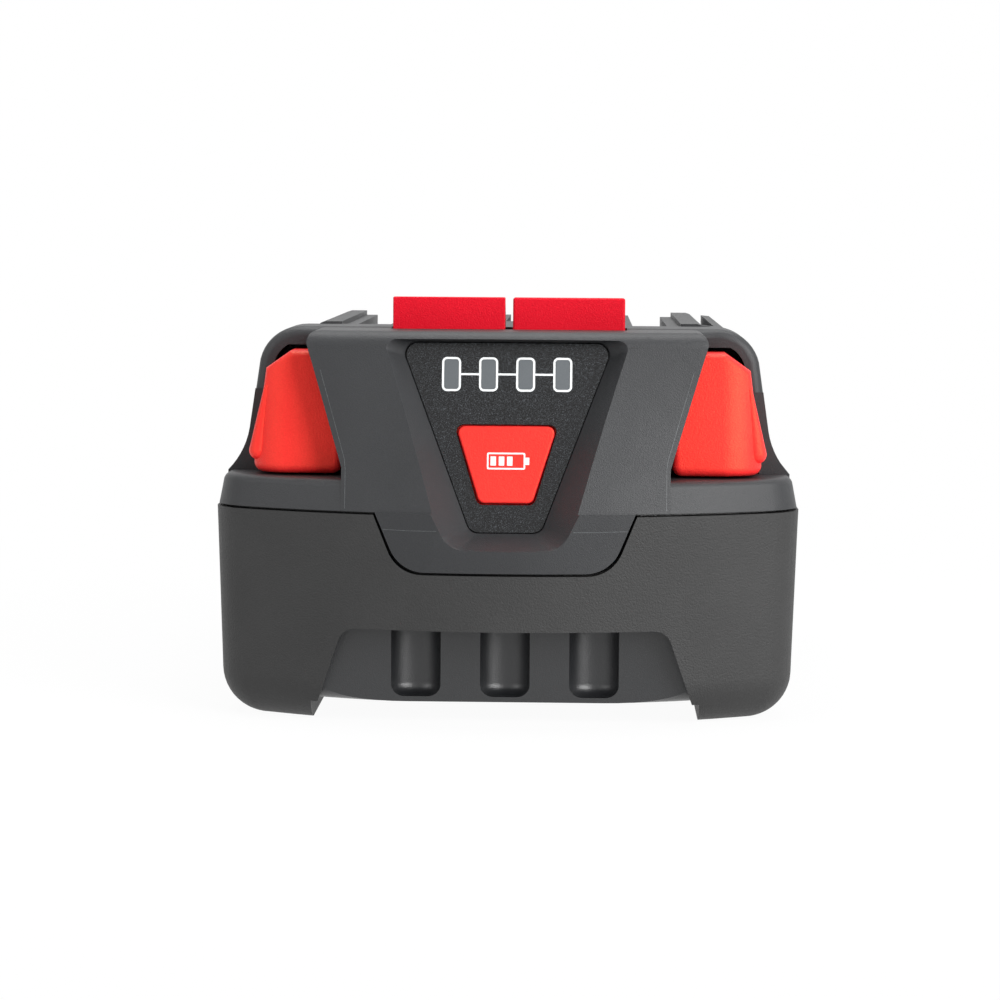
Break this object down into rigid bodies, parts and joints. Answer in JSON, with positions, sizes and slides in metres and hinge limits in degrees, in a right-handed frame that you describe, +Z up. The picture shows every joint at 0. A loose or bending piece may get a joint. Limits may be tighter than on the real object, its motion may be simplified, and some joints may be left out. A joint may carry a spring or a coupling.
{
  "type": "power tool battery pack",
  "caption": "Slide-on cordless tool battery pack with top rails, retractable latch tabs, side release buttons, a charge gauge button panel and round cells in a row.",
  "frame": {"origin": "middle of the pack's footprint, on the surface its feet stand on", "axes": "+X across the pack, to the right seen from the gauge end; +Y from the gauge end to the end that the tool slides over first; +Z up"},
  "size_m": [0.0808, 0.1118, 0.058],
  "materials": {
    "boot": "fine pebble grain, matt",
    "cover": "fine spark-eroded grain, satin",
    "shell": "satin moulded",
    "panel": "fine speckled label film, semi-gloss",
    "window": "smoked translucent",
    "red": "fine grain, satin",
    "carrier": "moulded",
    "cell_wrap": "shrink sleeve, glossy",
    "nickel": "rolled strip",
    "insulator": "pressed sheet",
    "foam": "closed-cell foam",
    "board": "solder mask",
    "component": "moulded package",
    "led": "clear lens",
    "contact": "stamped and plated",
    "cable": "flexible film",
    "steel": "zinc plated"
  },
  "bodies": {
    "pack": {"board_components": "component", "board_screws": "steel", "cell_1": "cell_wrap", "cell_2": "cell_wrap", "cell_3": "cell_wrap", "cell_4": "cell_wrap", "cell_5": "cell_wrap", "cell_holder_left": "carrier", "cell_holder_right": "carrier", "contact_minus": "contact", "contact_plus": "contact", "contact_signal_1": "contact", "contact_signal_2": "contact", "contact_signal_3": "contact", "control_board": "board", "foam_pads": "foam", "gauge_board": "board", "gauge_cable": "cable", "gauge_leds": "led", "gauge_panel": "panel", "gauge_switch": "component", "gauge_windows": "window", "housing_screws": "steel", "insulator_left": "insulator", "insulator_right": "insulator", "latch_frame": "carrier", "latch_spring_left": "steel", "latch_spring_right": "steel", "lower_shell": "shell", "nickel_strip_1": "nickel", "nickel_strip_2": "nickel", "nickel_strip_3": "nickel", "nickel_strip_4": "nickel", "nickel_strip_5": "nickel", "nickel_strip_6": "nickel", "outer_boot": "boot", "terminal_block": "carrier", "thermistor": "component", "top_cover": "cover"},
    "release_button_left": {"release_button_left": "red"},
    "release_button_right": {"release_button_right": "red"},
    "latch_tab_left": {"latch_tab_left": "red"},
    "latch_tab_right": {"latch_tab_right": "red"},
    "gauge_button": {"gauge_button": "red"}
  },
  "joints": [
    {"name": "button_left_press", "type": "slide", "parent": "pack", "child": "release_button_left", "axis": [1, 0, 0], "range_m": [0, 0.0044]},
    {"name": "tab_left_drop", "type": "slide", "parent": "pack", "child": "latch_tab_left", "axis": [0, 0, -1], "range_m": [0, 0.0044], "stiffness_N_per_m": 300, "springref_m": -0.002, "deforming": ["latch_spring_left"]},
    {"name": "button_right_press", "type": "slide", "parent": "pack", "child": "release_button_right", "axis": [-1, 0, 0], "range_m": [0, 0.0044]},
    {"name": "tab_right_drop", "type": "slide", "parent": "pack", "child": "latch_tab_right", "axis": [0, 0, -1], "range_m": [0, 0.0044], "stiffness_N_per_m": 300, "springref_m": -0.002, "deforming": ["latch_spring_right"]},
    {"name": "gauge_button_press", "type": "slide", "parent": "pack", "child": "gauge_button", "axis": [0, 0.9848, -0.1736], "range_m": [0, 0.0006], "stiffness_N_per_m": 800, "springref_m": -0.0004}
  ],
  "couplings": [
    {"joint": "tab_left_drop", "follows": "button_left_press", "ratio": 1},
    {"joint": "tab_right_drop", "follows": "button_right_press", "ratio": 1}
  ]
}
